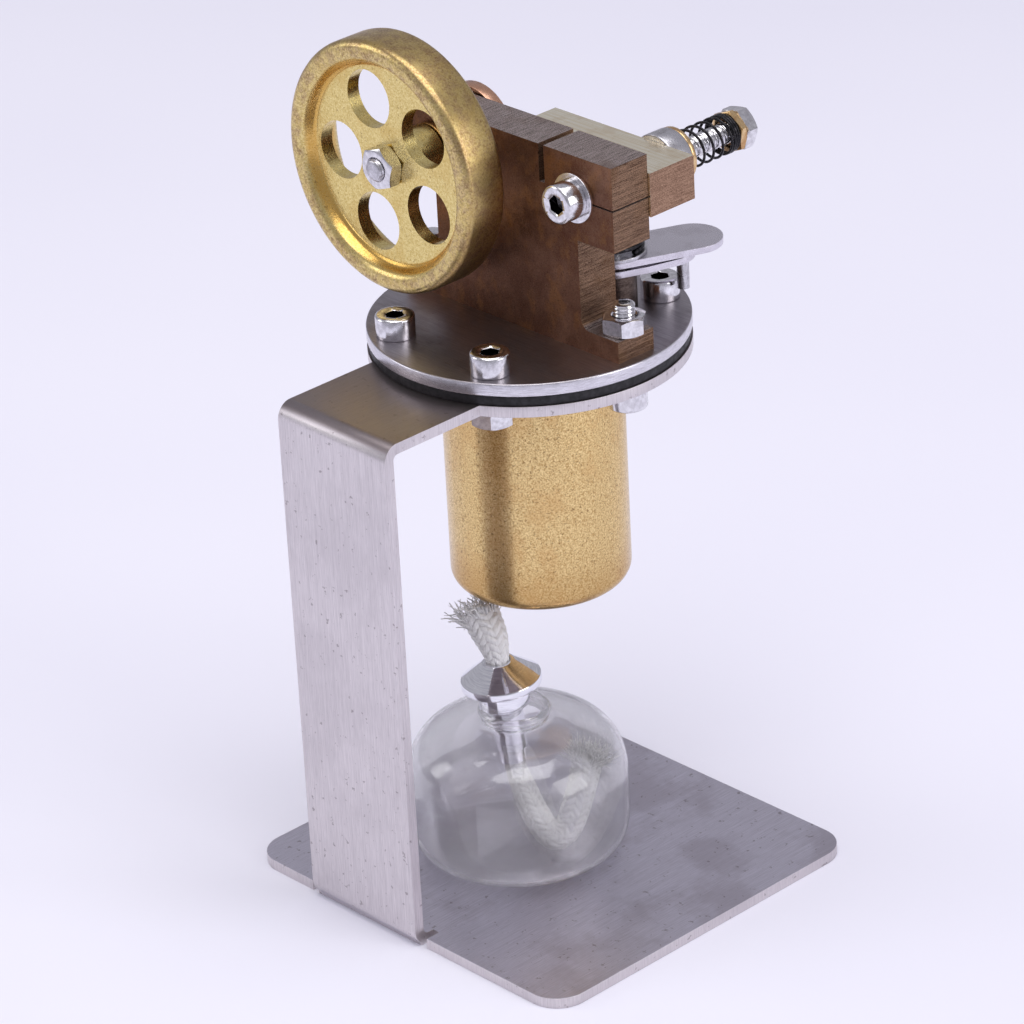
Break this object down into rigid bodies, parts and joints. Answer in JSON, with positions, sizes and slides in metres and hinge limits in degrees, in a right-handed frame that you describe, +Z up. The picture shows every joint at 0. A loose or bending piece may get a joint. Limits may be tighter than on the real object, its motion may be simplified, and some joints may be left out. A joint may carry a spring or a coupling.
{
  "type": "model steam engine",
  "caption": "Small oscillating-cylinder steam engine with a spoked-out flywheel, standing on a vertical boiler in a folded sheet bracket, heated by a glass spirit burner with a cotton wick.",
  "frame": {"origin": "on the underside of the base, directly below the boiler axis", "axes": "+Z up along the boiler axis; +X to the right across the front, from the crank side to the cylinder pivot side; +Y from the bracket leg in front to the cylinder behind"},
  "size_m": [0.0885, 0.0842, 0.1535],
  "materials": {
    "steel_sheet": "brushed sheet steel, brushed along the leg",
    "boiler_brass": "heat-stained and speckled brass tube",
    "gasket_rubber": "matt black rubber",
    "plate_steel": "grey steel brushed in straight lines",
    "steel_fastener": "plain bright stainless fasteners",
    "frame_bronze": "dark brown tarnished bronze with sawn edges",
    "bush_bronze": "turned bronze",
    "wheel_brass": "turned yellow brass with a light patina",
    "bright_steel": "turned bright steel",
    "disc_bronze": "turned copper-red bronze",
    "block_brass": "pale milled brass with sawn ends",
    "black_spring": "black oxide spring wire",
    "nut_brass": "plain brass",
    "dark_bronze": "dark stained bronze",
    "lever_steel": "thin stainless strip, lightly brushed",
    "clear_glass": "clear blown glass",
    "collar_chrome": "polished turned collar",
    "wick_cotton": "white braided cotton with frayed ends"
  },
  "bodies": {
    "stand": {"stand_bracket": "steel_sheet", "boiler_shell": "boiler_brass", "gasket": "gasket_rubber", "top_plate": "plate_steel", "plate_screws": "steel_fastener", "plate_nuts": "steel_fastener", "foot_bolts": "steel_fastener", "foot_nuts": "steel_fastener", "engine_frame": "frame_bronze", "main_bush": "bush_bronze", "pivot_screw": "steel_fastener", "pivot_washer": "steel_fastener", "pivot_collar": "bright_steel", "spring_washer": "nut_brass", "pivot_spring": "black_spring", "brass_nut": "nut_brass", "lock_nut": "steel_fastener", "valve_seat": "dark_bronze", "valve_spring": "black_spring", "valve_stem": "steel_fastener", "fulcrum_strip": "lever_steel", "tongue_stud": "bright_steel"},
    "crank": {"flywheel": "wheel_brass", "crankshaft": "bright_steel", "flywheel_nut": "steel_fastener", "crank_disc": "disc_bronze"},
    "cylinder": {"cylinder_block": "block_brass"},
    "piston": {"piston": "bright_steel", "piston_rod": "bright_steel", "crank_pin": "steel_fastener"},
    "lever": {"valve_lever": "lever_steel", "valve_ring": "bright_steel", "valve_pad": "gasket_rubber"},
    "burner": {"glass_bowl": "clear_glass", "burner_collar": "collar_chrome", "wick": "wick_cotton"}
  },
  "joints": [
    {"name": "crank_spin", "type": "hinge", "parent": "stand", "child": "crank", "pos_m": [-0.0175, 0, 0.1305], "axis": [0, 1, 0], "continuous": true},
    {"name": "cylinder_swing", "type": "hinge", "parent": "stand", "child": "cylinder", "pos_m": [0.0175, 0.0096, 0.1305], "axis": [0, 1, 0], "range_deg": [-8.2, 8.2]},
    {"name": "piston_slide", "type": "slide", "parent": "cylinder", "child": "piston", "axis": [-1, 0, 0], "range_m": [0, 0.01]},
    {"name": "lever_press", "type": "hinge", "parent": "stand", "child": "lever", "pos_m": [0.01609, 0.02369, 0.1122], "axis": [-0.9135, 0.4067, 0], "range_deg": [0, 5], "stiffness_Nm_per_rad": 0.05, "springref_deg": -17.19, "deforming": ["valve_spring"]},
    {"name": "burner_slide", "type": "slide", "parent": "stand", "child": "burner", "axis": [1, 0, 0], "range_m": [0, 0.028]}
  ]
}
